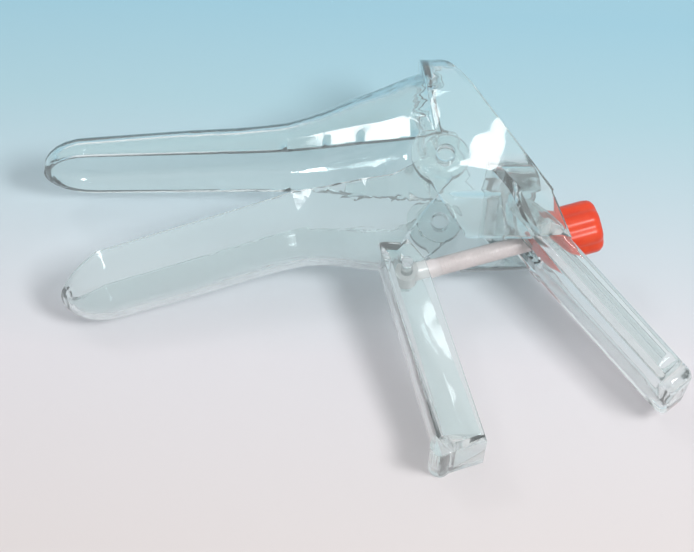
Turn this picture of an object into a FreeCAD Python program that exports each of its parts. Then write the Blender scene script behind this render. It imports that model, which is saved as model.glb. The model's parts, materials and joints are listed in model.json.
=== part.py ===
import FreeCAD, Part
import math
import os
import Sketcher
from FreeCAD import Placement, Rotation, Vector

# A bivalve speculum of clear plastic whose blades are spread by a central screw.
# It is drawn in the instrument's own axes: X rearwards along the closed blades, Y up through the upper
# blade and Z from one side to the other. Y = 0 is the line where the closed blades meet. The finished
# pieces are then opened to their resting angle and laid on one side, with Z up.

doc = FreeCAD.newDocument("speculum")

SIZES = {
    # shared, in millimetres
    "wall": 1.8,
    "fit_gap": 0.3,
    "pin_clearance": 0.05,
    # upper blade: the end of its round tip, then its sections from the tip to the hood
    "upper_tip_x": -102.5,
    "upper_tip_half": 13.0,
    "upper_tip_height": 8.4,
    "upper_tip_leg": 2.0,
    "upper_mid_x": -63.0,
    "upper_mid_half": 13.6,
    "upper_mid_height": 10.2,
    "upper_mid_leg": 2.7,
    "upper_waist_x": -37.0,
    "upper_waist_half": 14.5,
    "upper_waist_height": 12.0,
    "upper_waist_leg": 3.4,
    "brow_x": -17.0,
    "brow_lean": 6.0,
    "brow_half": 18.6,
    "brow_height": 19.0,
    "brow_leg": 5.0,
    "hood_x": 6.5,
    "hood_lean": 12.0,
    "hood_half": 23.2,
    "hood_height": 27.2,
    "hood_leg": 8.0,
    # collar: a leaning ring drawn out forwards
    "collar_x": 20.0,
    "collar_lean": 33.0,
    "collar_half": 25.5,
    "collar_crown": 34.1,
    "collar_spring": 13.5,
    "collar_floor": 14.0,
    "collar_wall": 2.1,
    "collar_corner": 7.0,
    "collar_front_top_x": -1.6,
    "collar_front_top_y": 22.0,
    "collar_front_low_x": 1.6,
    "floor_front_x": 14.5,
    # pivots
    "pivot_x": 4.0,
    "pivot_y": -6.5,
    "lobe_radius": 8.8,
    "ear_radius": 6.1,
    "pivot_pin_radius": 2.5,
    "opening_angle": 17.0,
    # neck between the collar and the handle
    "neck_top_y": -17.0,
    "neck_low_y": -24.6,
    "neck_front_x": 9.2,
    "neck_front_half": 14.0,
    # handle
    "handle_angle": 38.0,
    "handle_rear_x": 32.9,
    "handle_rear_y": -19.9,
    "handle_length": 54.0,
    "handle_top": 10.5,
    "handle_width": 22.5,
    "handle_depth": 8.0,
    "handle_wall": 2.0,
    "handle_web": 2.5,
    "handle_end_wall": 3.0,
    "handle_corner": 3.0,
    "channel_corner": 6.0,
    "web_top": 17.5,
    "shoulder_height": 10.0,
    "slot_width": 6.2,
    "slot_top": 8.6,
    "slot_foot": 4.6,
    # lower blade
    "lower_tip_x": -100.8,
    "lower_tip_half": 14.0,
    "lower_tip_depth": 13.0,
    "lower_tip_leg": 5.0,
    "lower_mid_x": -62.0,
    "lower_mid_half": 14.3,
    "lower_mid_depth": 13.4,
    "lower_mid_leg": 5.2,
    "lower_waist_x": -36.0,
    "lower_waist_half": 15.0,
    "lower_waist_depth": 14.3,
    "lower_waist_leg": 5.6,
    "belly_x": -17.5,
    "belly_half": 19.6,
    "belly_depth": 21.8,
    "belly_leg": 7.4,
    "base_depth": 30.0,
    "base_leg": 11.0,
    "rim_dip_x": -10.0,
    "rim_dip": 6.0,
    "scoop_x": -16.0,
    "scoop_y": -23.0,
    # lever
    "lever_width": 20.0,
    "lever_top_y": -19.0,
    "lever_foot_y": -78.2,
    "lever_front_top_x": -18.0,
    "lever_front_foot_x": -20.6,
    "lever_rear_top_x": -8.0,
    "lever_rear_foot_x": -8.8,
    "lever_web": 2.0,
    "lever_wall": 2.0,
    "lever_end_wall": 2.5,
    "roll_radius": 3.0,
    "roll_x": -19.9,
    "roll_y": -75.6,
    # screw, measured along it from its hinge
    "knuckle_x": -12.7,
    "knuckle_y": -26.35,
    "rod_pin_radius": 1.6,
    "rod_rise": 15.0,
    "rod_radius": 2.5,
    "rod_length": 48.5,
    "eye_radius": 3.0,
    "eye_width": 6.0,
    "rod_bevel": 0.8,
    "nut_bore_gap": 0.1,
    "nut_seat": 42.6,
    "nut_dome_radius": 7.2,
    "nut_knob_radius": 7.6,
    "nut_knob_start": 42.1,
    "nut_end": 53.8,
    # lying on one side, in degrees
    "lying_roll": 13.24,
    "lying_pitch": -5.11,
}

sheet = doc.addObject("Spreadsheet::Sheet", "Sizes")
for row, (alias, number) in enumerate(SIZES.items(), start=1):
    sheet.set(f"A{row}", alias)
    sheet.set(f"B{row}", str(number))
    sheet.setAlias(f"B{row}", alias)
doc.recompute()


def size(alias):
    return float(getattr(sheet, alias))


class Driven:
    """A number together with the sheet expression that gives it."""

    def __init__(self, value, text):
        self.value = value
        self.text = text

    def __add__(self, other):
        other = driven(other)
        return Driven(self.value + other.value, f"({self.text} + {other.text})")

    def __sub__(self, other):
        other = driven(other)
        return Driven(self.value - other.value, f"({self.text} - {other.text})")

    def __mul__(self, factor):
        return Driven(self.value * factor, f"({self.text} * {factor})")

    def __neg__(self):
        return self * -1.0


def driven(item):
    """A sheet entry by its name, or a plain number, as a driven number."""
    if isinstance(item, Driven):
        return item
    if isinstance(item, str):
        return Driven(size(item), f"Sizes.{item}")
    return Driven(float(item), str(float(item)))


WALL = size("wall")
ACROSS = Vector(0, 0, 1)
PIVOT = Vector(size("pivot_x"), size("pivot_y"), 0)
WIDE = 40.0
LONG = 130.0
NOSE_STEPS = 6


# Outlines and solids shared by the two blades


def arc_between(centre, start, end):
    """The short arc about centre from start to end."""
    radius = (start - centre).Length
    halfway = (start + end) * 0.5 - centre
    return Part.Arc(start, centre + halfway.normalize() * radius, end).toShape()


def quarter(start, corner, end):
    """A quarter oval from start to end, as a sharp arc that runs on into a wide one."""
    rise = corner - start
    reach = end - corner
    short = min(rise.Length, reach.Length)
    long = max(rise.Length, reach.Length)
    if long - short < 0.001:
        return [arc_between(start + reach, start, end)]
    sharp = short * (0.45 + 0.5 * short / long)
    wide = ((long - sharp) ** 2 + short**2 - sharp**2) / (2 * (short - sharp))
    starts_sharp = reach.Length > rise.Length
    along_start = Vector(reach).normalize()
    along_end = Vector(rise).normalize()
    start_centre = start + along_start * (sharp if starts_sharp else wide)
    end_centre = end - along_end * (wide if starts_sharp else sharp)
    if starts_sharp:
        join = start_centre + (start_centre - end_centre).normalize() * sharp
    else:
        join = end_centre + (end_centre - start_centre).normalize() * sharp
    return [arc_between(start_centre, start, join), arc_between(end_centre, join, end)]


def arch(station, inset, drop, side):
    """A closed arch across the blade: straight legs under half an ellipse.

    The station gives its X at Y = 0, its lean, half width, height and leg height. Side -1 hangs it down.
    """
    x, lean, half, height, leg = station
    half -= inset
    lean = math.radians(lean)
    up = Vector(-math.sin(lean), side * math.cos(lean), 0)
    out = ACROSS * half
    foot = Vector(x, 0, 0) - up * drop
    spring = Vector(x, 0, 0) + up * leg
    crown = Vector(x, 0, 0) + up * (height - inset)
    edges = [
        Part.makeLine(foot + out, spring + out),
        *quarter(spring + out, crown + out, crown),
        *quarter(crown, crown - out, spring - out),
        Part.makeLine(spring - out, foot - out),
        Part.makeLine(foot - out, foot + out),
    ]
    return Part.Wire(edges)


def eased(stations, steps):
    """The stations with others between them, on a smooth curve through all of them."""
    ends = [stations[0], *stations, stations[-1]]
    found = []
    for before, first, second, after in zip(ends, ends[1:], ends[2:], ends[3:]):
        for step in range(steps):
            t = step / steps
            weights = (
                (-t + 2 * t**2 - t**3) / 2,
                (2 - 5 * t**2 + 3 * t**3) / 2,
                (t + 4 * t**2 - 3 * t**3) / 2,
                (t**3 - t**2) / 2,
            )
            spots = zip(before, first, second, after)
            found.append(tuple(sum(w * v for w, v in zip(weights, spot)) for spot in spots))
    return [*found, stations[-1]]


def trough(stations, inset=0.0, drop=0.0, side=1):
    return Part.makeLoft([arch(station, inset, drop, side) for station in stations], True, True)


def nose(station, inset=0.0, drop=0.0, side=1):
    """The round end of a blade: arches that shrink along a half circle."""
    x, lean, half, height, leg = station
    half -= inset
    crown = height - inset - leg
    arches = []
    for step in range(NOSE_STEPS + 1):
        turn = math.radians(84.0 * step / NOSE_STEPS)
        arches.append((x - half * math.sin(turn), 0.0, half * math.cos(turn), leg + crown * math.cos(turn), leg))
    return trough(arches, 0.0, drop, side)


def side_prism(points, far, near=None):
    """A polygon drawn in the side view, spread across to both sides or from near to far."""
    start = -far if near is None else near
    corners = [Vector(x, y, start) for x, y in points]
    face = Part.Face(Part.makePolygon(corners + corners[:1]))
    return face.extrude(ACROSS * (far - start))


def both_sides(solid):
    return solid.fuse(solid.mirror(Vector(), ACROSS))


def coded(name, solid):
    made = doc.addObject("Part::Feature", name)
    made.Shape = solid
    return made


# Sketches and features bound to the sheet


def new_sketch(body, name, role, base=(0, 0, 0), turn=None):
    """A sketch on one of the body's own planes, shifted by base and turned about its Y axis."""
    sketch = body.newObject("Sketcher::SketchObject", name)
    plane = next(plane for plane in body.Origin.OriginFeatures if plane.Role == role)
    sketch.AttachmentSupport = [(plane, "")]
    sketch.MapMode = "FlatFace"
    if turn is not None:
        sketch.AttachmentOffset = Placement(Vector(), Rotation(Vector(0, 1, 0), 1))
        sketch.setExpression("AttachmentOffset.Rotation.Angle", driven(turn).text)
    for letter, item in zip("xyz", base):
        if item != 0:
            sketch.setExpression(f"AttachmentOffset.Base.{letter}", driven(item).text)
    return sketch


def bind(sketch, kind, index, point, item):
    """One constraint whose value comes from the sheet, from the sketch's origin or of a radius."""
    if kind == "Radius":
        number = sketch.addConstraint(Sketcher.Constraint(kind, index, item.value))
    else:
        number = sketch.addConstraint(Sketcher.Constraint(kind, -1, 1, index, point, item.value))
    sketch.setExpression(f"Constraints[{number}]", item.text)


def polygon(sketch, corners):
    corners = [(driven(x), driven(y)) for x, y in corners]
    spots = [Vector(x.value, y.value, 0) for x, y in corners]
    count = len(spots)
    for index in range(count):
        sketch.addGeometry(Part.LineSegment(spots[index], spots[(index + 1) % count]), False)
    for index in range(count):
        sketch.addConstraint(Sketcher.Constraint("Coincident", index, 2, (index + 1) % count, 1))
    for index, (x, y) in enumerate(corners):
        bind(sketch, "DistanceX", index, 1, x)
        bind(sketch, "DistanceY", index, 1, y)


def circle(sketch, x, y, radius):
    x, y, radius = driven(x), driven(y), driven(radius)
    spot = Vector(x.value, y.value, 0)
    index = sketch.addGeometry(Part.Circle(spot, ACROSS, radius.value), False)
    bind(sketch, "DistanceX", index, 3, x)
    bind(sketch, "DistanceY", index, 3, y)
    bind(sketch, "Radius", index, 3, radius)


def swept(body, kind, sketch, length, midplane=False, reverse=False):
    """A pad or pocket of the sketch."""
    feature = body.newObject(f"PartDesign::{kind}", f"{sketch.Name}_{kind.lower()}")
    feature.Profile = sketch
    feature.Midplane = midplane
    feature.Reversed = reverse
    feature.setExpression("Length", driven(length).text)
    sketch.Visibility = False
    return feature


def round_edges(body, base, radius, wanted, name, kind="Fillet"):
    """Rounds or bevels the edges of base that wanted picks."""
    doc.recompute()
    names = [f"Edge{i}" for i, edge in enumerate(base.Shape.Edges, start=1) if wanted(edge)]
    if not names:
        raise ValueError(f"{name} found no edges")
    feature = body.newObject(f"PartDesign::{kind}", name)
    feature.Base = (base, names)
    feature.setExpression("Radius" if kind == "Fillet" else "Size", driven(radius).text)
    return feature


def cross_bore(name, radius, x, y, length):
    """A cutter along Z through both sides."""
    made = doc.addObject("Part::Cylinder", name)
    made.setExpression("Radius", driven(radius).text)
    made.setExpression("Height", driven(length).text)
    made.setExpression("Placement.Base.x", driven(x).text)
    made.setExpression("Placement.Base.y", driven(y).text)
    made.setExpression("Placement.Base.z", (driven(length) * -0.5).text)
    return made


# Upper valve: blade, hood, collar, neck and handle in one moulding

upper_tip = (
    size("upper_tip_x") + size("upper_tip_half"),
    0.0,
    size("upper_tip_half"),
    size("upper_tip_height"),
    size("upper_tip_leg"),
)
upper_mid = (
    size("upper_mid_x"),
    0.0,
    size("upper_mid_half"),
    size("upper_mid_height"),
    size("upper_mid_leg"),
)
upper_waist = (
    size("upper_waist_x"),
    0.0,
    size("upper_waist_half"),
    size("upper_waist_height"),
    size("upper_waist_leg"),
)
brow = (size("brow_x"), size("brow_lean"), size("brow_half"), size("brow_height"), size("brow_leg"))
hood = (size("hood_x"), size("hood_lean"), size("hood_half"), size("hood_height"), size("hood_leg"))
upper_stations = [upper_tip, *eased([upper_mid, upper_waist, brow, hood], 2)]

ring_foot = Vector(size("collar_x"), 0, 0)
ring_lean = math.radians(size("collar_lean"))
ring_up = Vector(-math.sin(ring_lean), math.cos(ring_lean), 0)


def ring_spot(height, across):
    return ring_foot + ring_up * height + ACROSS * across


def collar_tube(inset):
    """The collar's outline in its leaning plane, drawn out forwards."""
    half = size("collar_half") - inset
    crown = size("collar_crown") - inset
    spring = size("collar_spring")
    floor = inset - size("collar_floor")
    corner = size("collar_corner") - inset
    edges = [
        *quarter(ring_spot(spring, half), ring_spot(crown, half), ring_spot(crown, 0)),
        *quarter(ring_spot(crown, 0), ring_spot(crown, -half), ring_spot(spring, -half)),
        Part.makeLine(ring_spot(spring, -half), ring_spot(floor + corner, -half)),
        *quarter(ring_spot(floor + corner, -half), ring_spot(floor, -half), ring_spot(floor, corner - half)),
        Part.makeLine(ring_spot(floor, corner - half), ring_spot(floor, half - corner)),
        *quarter(ring_spot(floor, half - corner), ring_spot(floor, half), ring_spot(floor + corner, half)),
        Part.makeLine(ring_spot(floor + corner, half), ring_spot(spring, half)),
    ]
    return Part.Face(Part.Wire(edges)).extrude(Vector(-LONG, 0, 0))


def behind_front(step):
    """Everything behind the collar's front edge, moved back by step."""
    return side_prism(
        [
            (size("collar_front_top_x") + step, LONG),
            (size("collar_front_top_x") + step, size("collar_front_top_y")),
            (size("collar_front_low_x") + step, 0),
            (size("collar_front_low_x") + step, -LONG),
            (LONG, -LONG),
            (LONG, LONG),
        ],
        WIDE,
    )


def below_meeting(rear_x):
    """Everything under Y = 0 and in front of rear_x."""
    return side_prism([(-LONG, 0), (rear_x, 0), (rear_x, -LONG), (-LONG, -LONG)], WIDE)


upper_outside = trough(upper_stations).fuse(nose(upper_tip))
upper_inside = trough(upper_stations, WALL, 1.0).fuse(nose(upper_tip, WALL, 1.0))
tube_bore = collar_tube(size("collar_wall"))
collar = collar_tube(0.0).common(behind_front(0.0)).cut(below_meeting(size("floor_front_x")))
upper_hollow = upper_inside.fuse(tube_bore.common(behind_front(WALL)))
blade_and_collar = upper_outside.fuse(collar).cut(upper_hollow)

arm_out = size("collar_half")
arm_in = arm_out - size("collar_wall")
neck_top = size("neck_top_y")
neck_low = size("neck_low_y")
rear_slope = math.tan(math.radians(size("handle_angle")))
neck_top_rear = size("handle_rear_x") + (size("handle_rear_y") - neck_top) * rear_slope
neck_low_rear = size("handle_rear_x") + (size("handle_rear_y") - neck_low) * rear_slope
lobe_foot_x = PIVOT.x - 4.0

# Arms: the round pivot lobes and the flat walls that lead back from them under the collar
arm_plate = side_prism(
    [
        (size("collar_front_low_x"), 0.0),
        (size("collar_x"), 0.0),
        (size("collar_x") - neck_top * math.tan(ring_lean), neck_top),
        (lobe_foot_x + 1.6, neck_top),
        (lobe_foot_x, PIVOT.y - size("lobe_radius") * 0.88),
    ],
    arm_out,
    arm_in,
)
arm_lobe = Part.makeCylinder(size("lobe_radius"), arm_out - arm_in, PIVOT + ACROSS * arm_in, ACROSS)
arms = both_sides(arm_plate.fuse(arm_lobe.common(below_meeting(LONG))))


def neck_level(y, front, rear, front_half, rear_half, reach=0.0):
    """One level of the neck, longer by reach at its front and rear."""
    corners = [
        Vector(front - reach, y, -front_half),
        Vector(rear + reach, y, -rear_half),
        Vector(rear + reach, y, rear_half),
        Vector(front - reach, y, front_half),
    ]
    return Part.makePolygon(corners + corners[:1])


# Neck: side walls that close in from the arms to the handle, open at the front and the rear
low_half = size("handle_width") / 2
neck_wall = size("collar_wall")
neck_front = size("neck_front_x")
neck_outside = Part.makeLoft(
    [
        neck_level(neck_top, lobe_foot_x + 1.6, neck_top_rear, arm_out, arm_out),
        neck_level(neck_low, neck_front, neck_low_rear, size("neck_front_half"), low_half),
    ],
    True,
    True,
)
neck_inside = Part.makeLoft(
    [
        neck_level(neck_top, lobe_foot_x + 1.6, neck_top_rear, arm_in, arm_in, 8.0),
        neck_level(
            neck_low,
            neck_front,
            neck_low_rear,
            size("neck_front_half") - neck_wall,
            low_half - neck_wall,
            8.0,
        ),
    ],
    True,
    True,
)
upper_shell = coded("upper_shell", blade_and_collar.fuse([arms, neck_outside.cut(neck_inside)]))

# Handle: a channel open to the rear, sketched in the plane of its rear face with X up along it
handle = doc.addObject("PartDesign::Body", "handle")
rear_face = ("handle_rear_y", 0, "handle_rear_x")
half_width = driven("handle_width") * 0.5
inner_half = half_width - "handle_wall"
foot = -driven("handle_length")
outline = new_sketch(handle, "handle_outline", "YZ_Plane", rear_face, "handle_angle")
polygon(
    outline,
    [("handle_top", -half_width), ("handle_top", half_width), (foot, half_width), (foot, -half_width)],
)
handle_block = swept(handle, "Pad", outline, "handle_depth", reverse=True)

channel = new_sketch(handle, "handle_channel", "YZ_Plane", rear_face, "handle_angle")
channel_foot = foot + "handle_end_wall"
channel_top = driven("handle_top") + "handle_depth"
polygon(
    channel,
    [
        (channel_top, -inner_half),
        (channel_top, inner_half),
        (channel_foot, inner_half),
        (channel_foot, -inner_half),
    ],
)
handle_channel = swept(handle, "Pocket", channel, driven("handle_depth") - "handle_web")

lean = math.radians(size("handle_angle"))
down = Vector(math.sin(lean), -math.cos(lean), 0)
rearward = Vector(math.cos(lean), math.sin(lean), 0)
handle_root = Vector(size("handle_rear_x"), size("handle_rear_y"), 0)


def is_corner(edge, half, below_root):
    """Whether the edge runs through the handle's thickness at this half width and this far down it."""
    middle = edge.CenterOfMass
    through = abs(edge.tangentAt(edge.FirstParameter).dot(rearward)) > 0.99
    at_side = abs(abs(middle.z) - half.value) < 0.01
    return through and at_side and abs((middle - handle_root).dot(down) - below_root) < 0.01


def is_end_edge(edge):
    """Whether the edge runs across the handle's lower end."""
    below_root = (edge.CenterOfMass - handle_root).dot(down)
    return abs(edge.tangentAt(edge.FirstParameter).z) > 0.99 and abs(below_root - size("handle_length")) < 0.01


round_edges(
    handle,
    handle_channel,
    "channel_corner",
    lambda edge: is_corner(edge, inner_half, -channel_foot.value),
    "channel_end",
)
round_edges(
    handle,
    handle.Tip,
    "handle_corner",
    lambda edge: is_corner(edge, half_width, size("handle_length")),
    "handle_end_corners",
)
round_edges(handle, handle.Tip, driven("handle_corner") * 0.6, is_end_edge, "handle_end_edges")

# The handle's web runs up between the arms as a wall with shoulders
front_face = (
    driven("handle_rear_y") - driven("handle_depth") * rearward.y,
    0,
    driven("handle_rear_x") - driven("handle_depth") * rearward.x,
)
shoulders = new_sketch(handle, "shoulders", "YZ_Plane", front_face, "handle_angle")
arm_middle = driven("collar_half") - 1.0
polygon(
    shoulders,
    [
        ("web_top", -arm_middle),
        ("web_top", arm_middle),
        ("shoulder_height", arm_middle),
        (0.5, half_width),
        (-5.0, half_width),
        (-5.0, -half_width),
        (0.5, -half_width),
        ("shoulder_height", -arm_middle),
    ],
)
swept(handle, "Pad", shoulders, "handle_web")

slot = new_sketch(handle, "rod_slot", "YZ_Plane", front_face, "handle_angle")
slot_half = driven("slot_width") * 0.5
polygon(
    slot,
    [
        ("slot_top", -slot_half),
        ("slot_top", slot_half),
        (-driven("slot_foot"), slot_half),
        (-driven("slot_foot"), -slot_half),
    ],
)
rod_slot = swept(handle, "Pocket", slot, driven("handle_web") + 0.5, reverse=True)


def is_slot_corner(edge):
    through = abs(edge.tangentAt(edge.FirstParameter).dot(rearward)) > 0.99
    return through and abs(abs(edge.CenterOfMass.z) - slot_half.value) < 0.01


round_edges(handle, rod_slot, driven("slot_width") * 0.3, is_slot_corner, "slot_ends")

upper_whole = doc.addObject("Part::MultiFuse", "upper_whole")
upper_whole.Shapes = [upper_shell, handle]
passage = coded("passage", tube_bore.common(below_meeting(LONG)))
arm_bore = cross_bore("arm_bore", "pivot_pin_radius", "pivot_x", "pivot_y", driven("collar_half") * 2.2)
upper_cuts = doc.addObject("Part::MultiFuse", "upper_cuts")
upper_cuts.Shapes = [passage, arm_bore]
upper_valve = doc.addObject("Part::Cut", "upper_valve")
upper_valve.Base = upper_whole
upper_valve.Tool = upper_cuts

# Lower valve, drawn closed: blade, ears and lever in one moulding

lower_tip = (
    size("lower_tip_x") + size("lower_tip_half"),
    0.0,
    size("lower_tip_half"),
    size("lower_tip_depth"),
    size("lower_tip_leg"),
)
lower_mid = (
    size("lower_mid_x"),
    0.0,
    size("lower_mid_half"),
    size("lower_mid_depth"),
    size("lower_mid_leg"),
)
lower_waist = (
    size("lower_waist_x"),
    0.0,
    size("lower_waist_half"),
    size("lower_waist_depth"),
    size("lower_waist_leg"),
)
belly = (size("belly_x"), 0.0, size("belly_half"), size("belly_depth"), size("belly_leg"))
base_half = size("collar_half") - size("collar_wall") - size("fit_gap")
base = (size("pivot_x"), 0.0, base_half, size("base_depth"), size("base_leg"))
lower_stations = [lower_tip, *eased([lower_mid, lower_waist, belly, base], 2)]
gap = size("fit_gap")
lower_profile = side_prism(
    [
        (size("lower_tip_x") - 1, -size("lower_tip_leg")),
        (lower_tip[0] - 2, -gap),
        (size("lower_waist_x"), -gap),
        (size("rim_dip_x"), -size("rim_dip")),
        (PIVOT.x, PIVOT.y + 2.0),
        (PIVOT.x, PIVOT.y - size("ear_radius")),
        (size("scoop_x"), size("scoop_y")),
        (size("scoop_x"), -LONG),
        (size("lower_tip_x") - 1, -LONG),
    ],
    WIDE,
)
lower_outside = trough(lower_stations, side=-1).fuse(nose(lower_tip, side=-1))
lower_inside = trough(lower_stations, WALL, 1.0, -1).fuse(nose(lower_tip, WALL, 1.0, -1))
ear_in = base_half - size("collar_wall")
ear = Part.makeCylinder(size("ear_radius"), size("collar_wall"), PIVOT + ACROSS * ear_in, ACROSS)
lower_blade = lower_outside.cut(lower_inside).common(lower_profile)
lower_shell = coded("lower_shell", lower_blade.fuse(both_sides(ear)))

# Lever: a channel open to the rear, ending in a roll for the thumb
lever = doc.addObject("PartDesign::Body", "lever")
lever_side = new_sketch(lever, "lever_side", "XY_Plane")
polygon(
    lever_side,
    [
        ("lever_front_top_x", "lever_top_y"),
        ("lever_front_foot_x", "lever_foot_y"),
        ("lever_rear_foot_x", "lever_foot_y"),
        ("lever_rear_top_x", driven("lever_top_y") - 8.0),
        (driven("lever_rear_top_x") - 3.0, "lever_top_y"),
    ],
)
lever_block = swept(lever, "Pad", lever_side, "lever_width", midplane=True)
lever_channel = new_sketch(lever, "lever_channel", "XY_Plane")
channel_end = driven("lever_foot_y") + "lever_end_wall"
polygon(
    lever_channel,
    [
        (driven("lever_front_top_x") + "lever_web", driven("lever_top_y") + 2.0),
        (driven("lever_front_foot_x") + "lever_web", channel_end),
        (driven("lever_rear_foot_x") + 5.0, channel_end),
        (driven("lever_rear_top_x") + 5.0, driven("lever_top_y") + 2.0),
    ],
)
swept(lever, "Pocket", lever_channel, driven("lever_width") - driven("lever_wall") * 2.0, midplane=True)
roll = new_sketch(lever, "thumb_roll", "XY_Plane")
circle(roll, "roll_x", "roll_y", "roll_radius")
swept(lever, "Pad", roll, "lever_width", midplane=True)

lower_whole = doc.addObject("Part::MultiFuse", "lower_whole")
lower_whole.Shapes = [lower_shell, lever]
lower_hollow = coded("lower_hollow", lower_inside)
ear_hole = driven("pivot_pin_radius") + "pin_clearance"
ear_bore = cross_bore("ear_bore", ear_hole, "pivot_x", "pivot_y", driven("collar_half") * 2.2)
knuckle_bore = cross_bore(
    "knuckle_bore", "rod_pin_radius", "knuckle_x", "knuckle_y", driven("lever_width") * 1.2
)
lower_cuts = doc.addObject("Part::MultiFuse", "lower_cuts")
lower_cuts.Shapes = [lower_hollow, ear_bore, knuckle_bore]
lower_valve = doc.addObject("Part::Cut", "lower_valve")
lower_valve.Base = lower_whole
lower_valve.Tool = lower_cuts

# Pins


def pin(name, x, y, start, length, radius):
    """A round pin along Z with bevelled ends."""
    body = doc.addObject("PartDesign::Body", name)
    section = new_sketch(body, f"{name}_section", "XY_Plane", (0, 0, start))
    circle(section, x, y, radius)
    shank = swept(body, "Pad", section, length)
    round_edges(body, shank, 0.3, lambda edge: edge.Closed, f"{name}_bevel", "Chamfer")
    return body


pin_start = driven("collar_half") - driven("collar_wall") * 2.0 - "fit_gap" - 0.4
pin_length = driven("collar_half") - pin_start - 0.1
pin_right = pin("pivot_pin_right", "pivot_x", "pivot_y", pin_start, pin_length, "pivot_pin_radius")
pin_left_start = -(pin_start + pin_length)
pin_left = pin("pivot_pin_left", "pivot_x", "pivot_y", pin_left_start, pin_length, "pivot_pin_radius")
rod_pin_length = driven("lever_width") - 0.2
rod_pin = pin("rod_pin", "knuckle_x", "knuckle_y", -rod_pin_length * 0.5, rod_pin_length, "rod_pin_radius")

# Screw: rod and nut, drawn along X from the rod's hinge
screw_rod = doc.addObject("PartDesign::Body", "screw_rod")
eye_section = new_sketch(screw_rod, "eye_section", "XY_Plane")
circle(eye_section, 0, 0, "eye_radius")
swept(screw_rod, "Pad", eye_section, "eye_width", midplane=True)
rod_section = new_sketch(screw_rod, "rod_section", "YZ_Plane")
circle(rod_section, 0, 0, "rod_radius")
swept(screw_rod, "Pad", rod_section, "rod_length")
eye_bore = new_sketch(screw_rod, "eye_bore", "XY_Plane")
circle(eye_bore, 0, 0, driven("rod_pin_radius") + "pin_clearance")
swept(screw_rod, "Pocket", eye_bore, driven("eye_width") + 1.0, midplane=True)
round_edges(
    screw_rod,
    screw_rod.Tip,
    "rod_bevel",
    lambda edge: edge.Closed and abs(edge.CenterOfMass.x - size("rod_length")) < 0.01,
    "rod_tip",
    "Chamfer",
)

screw_nut = doc.addObject("PartDesign::Body", "screw_nut")
dome = screw_nut.newObject("PartDesign::AdditiveSphere", "nut_dome")
dome.setExpression("Radius", driven("nut_dome_radius").text)
dome.setExpression("Placement.Base.x", driven("nut_seat").text)
knob_section = new_sketch(screw_nut, "knob_section", "YZ_Plane", (0, 0, "nut_knob_start"))
circle(knob_section, 0, 0, "nut_knob_radius")
swept(screw_nut, "Pad", knob_section, driven("nut_end") - "nut_knob_start")
nut_bore = new_sketch(screw_nut, "nut_bore", "YZ_Plane")
circle(nut_bore, 0, 0, driven("rod_radius") + "nut_bore_gap")
swept(screw_nut, "Pocket", nut_bore, driven("nut_end") + "nut_knob_radius", reverse=True)

# Opened to rest, then laid on one side over the origin
doc.recompute()
opened = Placement(Vector(), Rotation(ACROSS, size("opening_angle")), PIVOT)
hinge = opened.multVec(Vector(size("knuckle_x"), size("knuckle_y"), 0))
along_rod = Placement(hinge, Rotation(ACROSS, size("rod_rise")))
rolled = Placement(Vector(), Rotation(Vector(1, 0, 0), size("lying_roll")))
pitched = Placement(Vector(), Rotation(Vector(0, 1, 0), size("lying_pitch")))
lying = pitched * rolled
stances = {
    upper_valve: Placement(),
    pin_left: Placement(),
    pin_right: Placement(),
    lower_valve: opened,
    rod_pin: opened,
    screw_rod: along_rod,
    screw_nut: along_rod,
}
touched = []
for piece, stance in stances.items():
    laid = piece.Shape.copy()
    laid.Placement = lying * stance * laid.Placement
    touched.extend(laid.tessellate(0.05)[0])
middle_x = (min(c.x for c in touched) + max(c.x for c in touched)) / 2
middle_y = (min(c.y for c in touched) + max(c.y for c in touched)) / 2
floor_z = min(c.z for c in touched)
lying = Placement(Vector(-middle_x, -middle_y, -floor_z), Rotation()) * lying
for piece, stance in stances.items():
    piece.Placement = lying * stance
doc.recompute()

# Checks, then one file for each piece
for item in doc.Objects:
    if "Invalid" in item.State or "Error" in item.State:
        raise ValueError(f"{item.Name} did not build: {item.State}")
os.makedirs("parts", exist_ok=True)
for piece in stances:
    solid = piece.Shape
    if solid.isNull() or not solid.isValid():
        raise ValueError(f"{piece.Name} is not a valid shape")
    if len(solid.Solids) != 1:
        raise ValueError(f"{piece.Name} has {len(solid.Solids)} solids")
    solid.exportStep(f"parts/{piece.Name}.step")
    box = solid.BoundBox
    print(f"{piece.Name}: {solid.Volume:.0f} mm3, {box.XLength:.1f} x {box.YLength:.1f} x {box.ZLength:.1f} mm")

print("pivot", lying.multVec(PIVOT), "sideways axis", lying.Rotation.multVec(ACROSS))
print("rod hinge", lying.multVec(hinge), "rod axis", (lying * along_rod).Rotation.multVec(Vector(1, 0, 0)))
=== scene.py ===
import bmesh
import json
import math
import bpy
from mathutils import Matrix, Vector


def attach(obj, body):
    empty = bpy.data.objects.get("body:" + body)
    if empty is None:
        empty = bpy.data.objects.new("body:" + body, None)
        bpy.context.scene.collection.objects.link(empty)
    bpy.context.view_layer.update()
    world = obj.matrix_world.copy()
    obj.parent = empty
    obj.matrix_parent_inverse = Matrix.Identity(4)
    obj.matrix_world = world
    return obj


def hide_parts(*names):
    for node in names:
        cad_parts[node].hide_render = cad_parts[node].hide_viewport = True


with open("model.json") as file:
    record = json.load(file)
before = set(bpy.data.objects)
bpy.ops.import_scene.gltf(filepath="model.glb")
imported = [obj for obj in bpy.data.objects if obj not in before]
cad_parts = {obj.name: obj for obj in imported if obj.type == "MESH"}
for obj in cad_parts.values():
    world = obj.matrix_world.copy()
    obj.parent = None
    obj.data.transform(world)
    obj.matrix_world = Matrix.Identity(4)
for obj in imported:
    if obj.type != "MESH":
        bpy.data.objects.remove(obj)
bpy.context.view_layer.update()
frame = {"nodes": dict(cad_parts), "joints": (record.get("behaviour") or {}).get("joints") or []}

MM = 0.001

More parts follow.
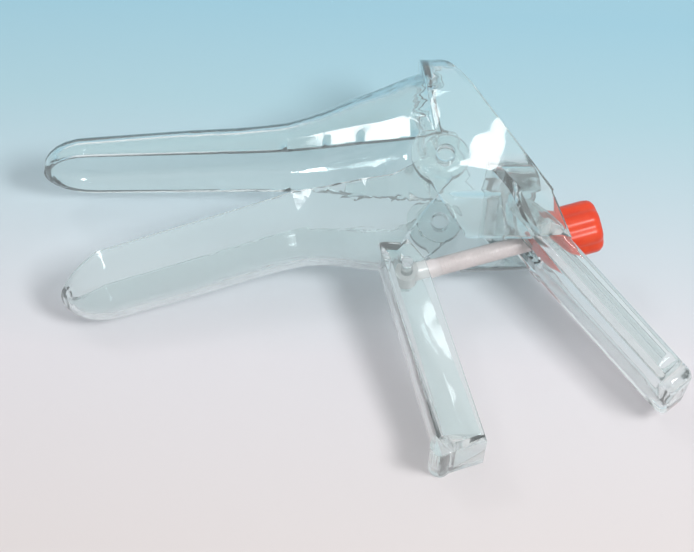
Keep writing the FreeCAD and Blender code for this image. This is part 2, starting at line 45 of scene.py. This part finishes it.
# The instrument's own axes, as it lies: across is the hinge axis, and rearward runs along the upper
# blade. Sizes below are in millimetres along these axes, and Y is 0 where the closed blades meet.
# The pivot is at PIVOT_X, PIVOT_Y.
PIVOT_X, PIVOT_Y = 4.0, -6.5
OPENING_DEGREES = 17.0

opening = next(joint for joint in frame["joints"] if joint["name"] == "blade_opening")
swing = next(joint for joint in frame["joints"] if joint["name"] == "rod_swing")
travel = next(joint for joint in frame["joints"] if joint["name"] == "nut_travel")
across = Vector(opening["axis"]).normalized()
rearward = Vector((0.99603, 0.0, 0.08907)).normalized()
crownward = across.cross(rearward)
pivot = Vector(opening["pos_m"])


def placed(origin, x_axis, y_axis, z_axis):
    """The matrix from millimetres along these axes to the scene."""
    turn = Matrix((x_axis, y_axis, z_axis)).transposed().to_4x4()
    return Matrix.Translation(origin) @ turn @ Matrix.Scale(MM, 4)


from_pivot = Matrix.Translation((-PIVOT_X, -PIVOT_Y, 0))
upper_axes = placed(pivot, rearward, crownward, across) @ from_pivot
opened = Matrix.Rotation(math.radians(OPENING_DEGREES), 3, across)
lower_axes = placed(pivot, opened @ rearward, opened @ crownward, across) @ from_pivot
along_rod = Vector(travel["axis"]).normalized()
rod_axes = placed(Vector(swing["pos_m"]), along_rod, across.cross(along_rod), across)


def linear(hex_colour):
    """An sRGB colour such as "E8401F" as linear red, green, blue and alpha."""
    parts = [int(hex_colour[i : i + 2], 16) / 255 for i in (0, 2, 4)]
    return [p / 12.92 if p <= 0.04045 else ((p + 0.055) / 1.055) ** 2.4 for p in parts] + [1.0]


def new_material(name):
    material = bpy.data.materials.new(name)
    material.use_nodes = True
    material.node_tree.nodes.clear()
    return material


def add(material, kind, links=None, **settings):
    """Adds one node. Settings are its sockets, or else its properties; links feed sockets."""
    node = material.node_tree.nodes.new(kind)
    for key, value in settings.items():
        socket = node.inputs.get(key.replace("_", " "))
        if socket is not None:
            socket.default_value = value
        else:
            setattr(node, key, value)
    for key, source in (links or {}).items():
        material.node_tree.links.new(source, node.inputs[key])
    return node


def colour_stops(ramp, stops):
    """Gives a ramp these stops, each a position and a colour."""
    elements = ramp.color_ramp.elements
    while len(elements) < len(stops):
        elements.new(0.5)
    for element, (position, tint) in zip(elements, stops):
        element.position = position
        element.color = linear(tint)


def seen_share(material, directly, in_plastic):
    """One share where the eye sees a thing itself, one in or through plastic, 0 for its light."""
    path = add(material, "ShaderNodeLightPath").outputs
    plastic = {0: path["Is Glossy Ray"], 1: path["Is Transmission Ray"]}
    through = add(material, "ShaderNodeMath", plastic, operation="MAXIMUM")
    dimmed = add(material, "ShaderNodeMath", {0: through.outputs[0]}, operation="MULTIPLY")
    dimmed.inputs[1].default_value = in_plastic
    seen = {0: path["Is Camera Ray"], 2: dimmed.outputs[0]}
    total = add(material, "ShaderNodeMath", seen, operation="MULTIPLY_ADD")
    total.inputs[1].default_value = directly
    return total.outputs[0]


def moulded_polystyrene(name, tint, roughness, clearness):
    """General-purpose polystyrene out of a polished mould: hard and clear, and milky in its depth.

    The mould and the flow of the plastic leave faint waves about 9 mm apart, which bend the
    highlights.
    """
    material = new_material(name)
    place = add(material, "ShaderNodeTexCoord").outputs["Object"]
    waves = add(material, "ShaderNodeTexNoise", {"Vector": place}, Scale=1 / (9 * MM), Detail=1.0)
    bump = add(
        material,
        "ShaderNodeBump",
        {"Height": waves.outputs["Fac"]},
        Strength=0.12,
        Distance=1 * MM,
    )
    shader = add(
        material,
        "ShaderNodeBsdfPrincipled",
        {"Normal": bump.outputs["Normal"]},
        Base_Color=linear(tint),
        Roughness=roughness,
        IOR=1.5,
        Transmission_Weight=clearness,
    )
    add(material, "ShaderNodeOutputMaterial", {"Surface": shader.outputs["BSDF"]})
    return material


def orange_polypropylene():
    """Dyed polypropylene: waxy, as light goes a little way in, with faint swirls 6 mm long.

    Its grain is drawn 0.6 mm wide, which is coarser than the real one, so that it shows.
    """
    material = new_material("moulded orange polypropylene")
    place = add(material, "ShaderNodeTexCoord").outputs["Object"]
    grain = add(material, "ShaderNodeTexNoise", {"Vector": place}, Scale=1 / (0.6 * MM), Detail=2.0)
    bump = add(
        material,
        "ShaderNodeBump",
        {"Height": grain.outputs["Fac"]},
        Strength=0.15,
        Distance=0.1 * MM,
    )
    swirl = add(material, "ShaderNodeTexNoise", {"Vector": place}, Scale=1 / (6 * MM), Detail=2.0)
    shade = add(material, "ShaderNodeValToRGB", {"Fac": swirl.outputs["Fac"]})
    colour_stops(shade, ((0.3, "E23C18"), (0.7, "F04E26")))
    shader = add(
        material,
        "ShaderNodeBsdfPrincipled",
        {"Normal": bump.outputs["Normal"], "Base Color": shade.outputs["Color"]},
        Roughness=0.34,
        IOR=1.49,
        Subsurface_Weight=0.25,
        Subsurface_Radius=(1.0, 0.35, 0.15),
        Subsurface_Scale=1.5 * MM,
    )
    add(material, "ShaderNodeOutputMaterial", {"Surface": shader.outputs["BSDF"]})
    return material


clear = moulded_polystyrene("moulded clear polystyrene", "EFF8F8", 0.04, 0.91)
# The screw is a milkier, less polished moulding
clear_rod = moulded_polystyrene("moulded clear polystyrene screw", "FFF7F6", 0.16, 0.45)
orange = orange_polypropylene()

# Points of a node's loose triangles that are nearer than this are one point
SAME_POINT = 0.002


def joined_copy(node, axes):
    """The node's triangles as one closed mesh, in millimetres along these axes."""
    mesh = bmesh.new()
    mesh.from_mesh(frame["nodes"][node].data)
    bmesh.ops.remove_doubles(mesh, verts=mesh.verts, dist=SAME_POINT * MM)
    mesh.transform(axes.inverted())
    return mesh


def finished(name, mesh, material, body, node, soft_angle):
    """A piece from its mesh: smooth but for real edges, on its body and in place of its node."""
    data = bpy.data.meshes.new(name)
    mesh.to_mesh(data)
    mesh.free()
    data.polygons.foreach_set("use_smooth", [True] * len(data.polygons))
    data.set_sharp_from_angle(angle=math.radians(soft_angle))
    piece = bpy.data.objects.new(name, data)
    bpy.context.scene.collection.objects.link(piece)
    data.materials.append(material)
    even_shading = piece.modifiers.new("even shading", "WEIGHTED_NORMAL")
    even_shading.keep_sharp = True
    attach(piece, body)
    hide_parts(node)


# Blades: the moulding's long curves run without a break through the sections that shape them.
# Each section is its X, its lean in degrees, its half width and its height.
UPPER_SECTIONS = (
    (-63.0, 0.0, 13.6, 10.2),
    (-37.0, 0.0, 14.5, 12.0),
    (-17.0, 6.0, 18.6, 19.0),
    (6.5, 12.0, 23.2, 27.2),
)
LOWER_SECTIONS = (
    (-62.0, 0.0, 14.3, 13.4),
    (-36.0, 0.0, 15.0, 14.3),
    (-17.5, 0.0, 19.6, 21.8),
    (4.0, 0.0, 23.1, 30.0),
)
# The first and last X that are eased, and the way over which the easing fades at the last
UPPER_RUN = (-62.9, -2.2)
LOWER_RUN = (-61.9, -17.0)
FADE = 4.0
ROW_SPACING = 2.9
STEPS_ALONG = 40
# Points this near to where the closed blades meet are the blades' rims, which keep their height
RIM = 0.5
# Triangles thinner than this are closed up, before and after the rows are cut
SLIVER, CUT_SLIVER = 0.01, 0.02
BLADE_SOFT_ANGLE = 32.0


def between(first, last, share):
    """The section this share of the way from the first to the last."""
    return [a + (b - a) * share for a, b in zip(first, last)]


def on_curve(sections, at):
    """The blade's section at a place between its named ones, on a smooth curve through them all."""
    ends = [sections[0], *sections, sections[-1]]
    span = min(int(at), len(sections) - 2)
    t = at - span
    weights = (
        (-t + 2 * t**2 - t**3) / 2,
        (2 - 5 * t**2 + 3 * t**3) / 2,
        (t + 4 * t**2 - 3 * t**3) / 2,
        (t**3 - t**2) / 2,
    )
    near = ends[span : span + 4]
    return [sum(w * value for w, value in zip(weights, values)) for values in zip(*near)]


def on_chord(sections, at):
    """The same place on the straight run between two half-way sections."""
    first = math.floor(at * 2) / 2
    last = min(first + 0.5, len(sections) - 1)
    return between(on_curve(sections, first), on_curve(sections, last), (at - first) * 2)


def smooth_blade(name, node, body, axes, sections, run):
    """The node's mesh with rows added along its run and its straight parts eased into one curve."""
    first_x, last_x = run
    mesh = joined_copy(node, axes)
    bmesh.ops.dissolve_degenerate(mesh, dist=SLIVER, edges=mesh.edges)
    row = first_x
    while row < last_x:
        bmesh.ops.bisect_plane(
            mesh,
            geom=[*mesh.verts, *mesh.edges, *mesh.faces],
            dist=0.001,
            plane_co=(row, 0, 0),
            plane_no=(1, 0, 0),
        )
        row += ROW_SPACING
    bmesh.ops.dissolve_degenerate(mesh, dist=CUT_SLIVER, edges=mesh.edges)

    steps = [i / STEPS_ALONG * (len(sections) - 1) for i in range(STEPS_ALONG + 1)]
    chords = [on_chord(sections, step) for step in steps]
    curves = [on_curve(sections, step) for step in steps]
    for vert in mesh.verts:
        x, y, z = vert.co
        if not first_x < x < last_x:
            continue
        planes = [at - math.tan(math.radians(lean)) * abs(y) for at, lean, *_ in chords]
        after = next((i for i, plane in enumerate(planes) if plane > x), None)
        if not after:
            continue
        before = after - 1
        share = (x - planes[before]) / (planes[after] - planes[before])
        _, _, straight_half, straight_height = between(chords[before], chords[after], share)
        _, _, half, height = between(curves[before], curves[after], share)
        fade = min(1.0, (last_x - x) / FADE)
        vert.co.z *= 1 + (half / straight_half - 1) * fade
        if abs(y) > RIM:
            vert.co.y *= 1 + (height / straight_height - 1) * fade
    mesh.transform(axes)
    finished(name, mesh, clear, body, node, BLADE_SOFT_ANGLE)


smooth_blade(
    "upper_blade_and_handle", "upper_valve", "upper", upper_axes, UPPER_SECTIONS, UPPER_RUN
)
smooth_blade(
    "lower_blade_and_lever", "lower_valve", "lower", lower_axes, LOWER_SECTIONS, LOWER_RUN
)

# Nut: a thumb knob with shallow flutes behind a dome that seats against the handle's slot.
# It is turned round the rod, so its outline is X along the rod and radius.
DOME_X, DOME_RADIUS = 42.6, 7.2
DOME_EDGE_DEGREES = 84.0
BORE_RADIUS = 2.6
KNOB_RADIUS, KNOB_FRONT, KNOB_END = 7.3, 42.1, 52.8
EDGE_ROUND = 2.4
FLUTES, FLUTE_DEPTH = 8, 0.55
FLUTED_BEHIND, FLUTED_OUTSIDE = KNOB_FRONT + 0.2, 5.5
NUT_STEPS = 96
NUT_SOFT_ANGLE = 50.0


def arc(centre_x, centre_radius, radius, start, end, steps):
    """Points of an outline round this centre, from one angle to another in radians."""
    angles = [start + (end - start) * i / steps for i in range(steps + 1)]
    return [
        (centre_x + radius * math.cos(angle), centre_radius + radius * math.sin(angle))
        for angle in angles
    ]


bore_angle = math.asin(BORE_RADIUS / DOME_RADIUS)
dome_edge_angle = math.radians(DOME_EDGE_DEGREES)
outline = [
    *arc(DOME_X, 0, DOME_RADIUS, math.pi - bore_angle, math.pi - dome_edge_angle, 8),
    (KNOB_FRONT + 0.4, KNOB_RADIUS - 0.2),
    (KNOB_FRONT + 1.2, KNOB_RADIUS),
    *arc(KNOB_END - EDGE_ROUND, KNOB_RADIUS - EDGE_ROUND, EDGE_ROUND, math.pi / 2, 0, 5),
    # The rear face is dished round the bore
    (KNOB_END - 0.1, 5.2),
    (KNOB_END - 0.8, 4.4),
    (KNOB_END - 0.9, 3.2),
    (KNOB_END - 0.7, BORE_RADIUS),
]
nut = bmesh.new()
corners = [nut.verts.new((x, radius, 0)) for x, radius in outline]
edges = [nut.edges.new((corners[i - 1], corner)) for i, corner in enumerate(corners)]
bmesh.ops.spin(
    nut,
    geom=[*corners, *edges],
    cent=(0, 0, 0),
    axis=(1, 0, 0),
    dvec=(0, 0, 0),
    angle=math.tau,
    steps=NUT_STEPS,
    use_merge=True,
)
bmesh.ops.remove_doubles(nut, verts=nut.verts, dist=0.001)
bmesh.ops.recalc_face_normals(nut, faces=nut.faces)
for vert in nut.verts:
    radius = math.hypot(vert.co.y, vert.co.z)
    if vert.co.x > FLUTED_BEHIND and radius > FLUTED_OUTSIDE:
        wave = (1 - math.cos(FLUTES * math.atan2(vert.co.z, vert.co.y))) / 2
        scale = 1 - FLUTE_DEPTH * wave**2 / radius
        vert.co.y *= scale
        vert.co.z *= scale
nut.transform(rod_axes)
finished("thumb_nut", nut, orange, "nut", "screw_nut", NUT_SOFT_ANGLE)

# Screw: the node's eye, then a core with a shallow thread that reaches the rod's radius
ROD_RADIUS, CORE_RADIUS = 2.5, 2.42
EYE_END, CORE_START = 8.0, 8.5
THREAD_START, THREAD_END, THREAD_PITCH = 9.0, 47.0, 1.0
TIP_X, TIP_RADIUS = 48.5, CORE_RADIUS - 0.8
RIDGE_HALF, RIDGE_SUNK = 0.5, 0.1
STEPS_A_TURN = 16
SCREW_SOFT_ANGLE = 40.0

screw = joined_copy("screw_rod", rod_axes)
bmesh.ops.bisect_plane(
    screw,
    geom=[*screw.verts, *screw.edges, *screw.faces],
    plane_co=(EYE_END, 0, 0),
    plane_no=(1, 0, 0),
    clear_outer=True,
)
open_edges = [edge for edge in screw.edges if edge.is_boundary]
for ring_x, ring_radius in (
    (CORE_START, CORE_RADIUS),
    (THREAD_END, CORE_RADIUS),
    (TIP_X, TIP_RADIUS),
):
    grown = bmesh.ops.extrude_edge_only(screw, edges=open_edges)["geom"]
    for vert in (item for item in grown if isinstance(item, bmesh.types.BMVert)):
        scale = ring_radius / math.hypot(vert.co.y, vert.co.z)
        vert.co = (ring_x, vert.co.y * scale, vert.co.z * scale)
    new_edges = (item for item in grown if isinstance(item, bmesh.types.BMEdge))
    open_edges = [edge for edge in new_edges if edge.is_boundary]
bmesh.ops.contextual_create(screw, geom=open_edges)
ridge = [
    screw.verts.new((THREAD_START - RIDGE_HALF, CORE_RADIUS - RIDGE_SUNK, 0)),
    screw.verts.new((THREAD_START, ROD_RADIUS, 0)),
    screw.verts.new((THREAD_START + RIDGE_HALF, CORE_RADIUS - RIDGE_SUNK, 0)),
]
ridge_face = screw.faces.new(ridge)
ridge_steps = round((THREAD_END - THREAD_START) / THREAD_PITCH * STEPS_A_TURN)
bmesh.ops.spin(
    screw,
    geom=[ridge_face, *ridge_face.edges, *ridge_face.verts],
    cent=(0, 0, 0),
    axis=(1, 0, 0),
    dvec=(THREAD_PITCH / STEPS_A_TURN, 0, 0),
    angle=math.tau * ridge_steps / STEPS_A_TURN,
    steps=ridge_steps,
)
bmesh.ops.recalc_face_normals(screw, faces=screw.faces)
screw.transform(rod_axes)
finished("threaded_screw", screw, clear_rod, "rod", "screw_rod", SCREW_SOFT_ANGLE)

# Pins: the nodes' own shapes, in the clear plastic of the mouldings
for node in ("pivot_pin_left", "pivot_pin_right", "rod_pin"):
    pin = frame["nodes"][node]
    pin.data.materials.clear()
    pin.data.materials.append(clear)

# Camera at the photograph's angle: it looks along the hinge, from a little to the lever's side,
# and is turned slightly. It aims at AIM_X, AIM_Y on the instrument's axes.
IMAGE_WIDTH, IMAGE_HEIGHT = 694, 552
PIXELS_A_MM = 3.8
DISTANCE = 560 * MM
LEAN_ACROSS, LEAN_DOWN = 0.94, 0.35
TURN_DEGREES = -0.9
AIM_X, AIM_Y = -21.8, -30.3
SENSOR_WIDTH = 36.0

up = (crownward * LEAN_ACROSS + across * LEAN_DOWN).normalized()
towards = (across * LEAN_ACROSS - crownward * LEAN_DOWN).normalized()
right = up.cross(towards)
turn = Matrix.Rotation(math.radians(TURN_DEGREES), 3, towards)
right, up = turn @ right, turn @ up
aim = pivot + rearward * (AIM_X - PIVOT_X) * MM + crownward * (AIM_Y - PIVOT_Y) * MM
eye = aim + towards * DISTANCE
camera_data = bpy.data.cameras.new("camera")
camera_data.sensor_width = SENSOR_WIDTH
camera_data.lens = PIXELS_A_MM * DISTANCE / MM / IMAGE_WIDTH * SENSOR_WIDTH
camera_data.clip_start, camera_data.clip_end = 0.01, 20.0
camera = bpy.data.objects.new("camera", camera_data)
bpy.context.scene.collection.objects.link(camera)
camera.matrix_world = Matrix.Translation(eye) @ Matrix((right, up, towards)).transposed().to_4x4()
bpy.context.scene.camera = camera


def floor_spot(x, y):
    """The point of the floor at this pixel of the camera's image."""
    offset = right * (x - IMAGE_WIDTH / 2) - up * (y - IMAGE_HEIGHT / 2)
    ray = offset / (PIXELS_A_MM * DISTANCE / MM) - towards
    return eye - ray * (eye.z / ray.z)


# Floor: one matt sheet, its tint a warm white near the camera and a darker blue further off
FLOOR_SIZE = 6.0
FLOOR_TINTS = ((0.0, "E4DDDC"), (0.31, "E6E3E7"), (0.78, "B8D9E3"), (0.98, "A9D4E4"))
FLOOR_SEEN, FLOOR_SEEN_IN_PLASTIC = 0.15, 0.6

near_spot, far_spot = floor_spot(IMAGE_WIDTH / 2, IMAGE_HEIGHT), floor_spot(IMAGE_WIDTH / 2, 0)
far_side = (far_spot - near_spot).normalized()
bpy.ops.mesh.primitive_plane_add(size=FLOOR_SIZE, location=(0, 0, 0))
floor = bpy.context.object
floor.name = "floor"
paper = new_material("pale floor sheet")
place = add(paper, "ShaderNodeTexCoord").outputs["Object"]
distance = add(paper, "ShaderNodeVectorMath", {0: place}, operation="DOT_PRODUCT")
distance.inputs[1].default_value = far_side
share = add(
    paper,
    "ShaderNodeMapRange",
    {"Value": distance.outputs["Value"]},
    From_Min=near_spot.dot(far_side),
    From_Max=far_spot.dot(far_side),
)
shades = add(paper, "ShaderNodeValToRGB", {"Fac": share.outputs["Result"]})
colour_stops(shades, FLOOR_TINTS)
surface = add(paper, "ShaderNodeBsdfDiffuse", {"Color": shades.outputs["Color"]})
glow = add(paper, "ShaderNodeEmission", {"Color": shades.outputs["Color"]})
glow_share = seen_share(paper, FLOOR_SEEN, FLOOR_SEEN_IN_PLASTIC)
layers = {0: glow_share, 1: surface.outputs["BSDF"], 2: glow.outputs[0]}
mixed = add(paper, "ShaderNodeMixShader", layers)
add(paper, "ShaderNodeOutputMaterial", {"Surface": mixed.outputs["Shader"]})
floor.data.materials.append(paper)

# World: a soft, even studio. Its walls look white to the eye and in the plastic, and light the
# scene about half as strongly.
WALLS_LIGHT, WALLS_SEEN = 0.53, 1.0

world = bpy.data.worlds.new("studio")
bpy.context.scene.world = world
world.use_nodes = True
surroundings = world.node_tree.nodes["Background"]
surroundings.inputs["Color"].default_value = linear("F4F6F8")
seen = seen_share(world, 1.0, 1.0)
strength = add(
    world, "ShaderNodeMapRange", {"Value": seen}, To_Min=WALLS_LIGHT, To_Max=WALLS_SEEN
)
world.node_tree.links.new(strength.outputs["Result"], surroundings.inputs["Strength"])

LIT_MIDDLE = Vector((0, 0, 0.02))


def softbox(name, direction, distance, width, height, watts):
    """A soft lamp in this direction from the middle of the instrument, facing it. Metres."""
    light = bpy.data.lights.new(name, "AREA")
    light.shape = "RECTANGLE"
    light.size, light.size_y = width, height
    light.energy = watts
    lamp = bpy.data.objects.new(name, light)
    bpy.context.scene.collection.objects.link(lamp)
    lamp.location = LIT_MIDDLE + Vector(direction).normalized() * distance
    lamp.rotation_mode = "QUATERNION"
    lamp.rotation_quaternion = Vector(direction).to_track_quat("Z", "Y")


# The key lamp casts the shadows. The small ones are bright spots in the polished plastic.
over_hood = across * 0.87 - rearward * 0.37 + crownward * 0.35
over_collar = across * 0.93 + rearward * 0.11 + crownward * 0.35
softbox("key lamp on the right", (0.38, -0.42, 0.90), 0.75, 0.18, 0.18, 3.1)
softbox("small lamp over the hood", over_hood, 0.70, 0.10, 0.10, 0.32)
softbox("small lamp over the collar", over_collar, 0.70, 0.03, 0.05, 0.06)

bpy.context.scene.view_settings.view_transform = "Standard"
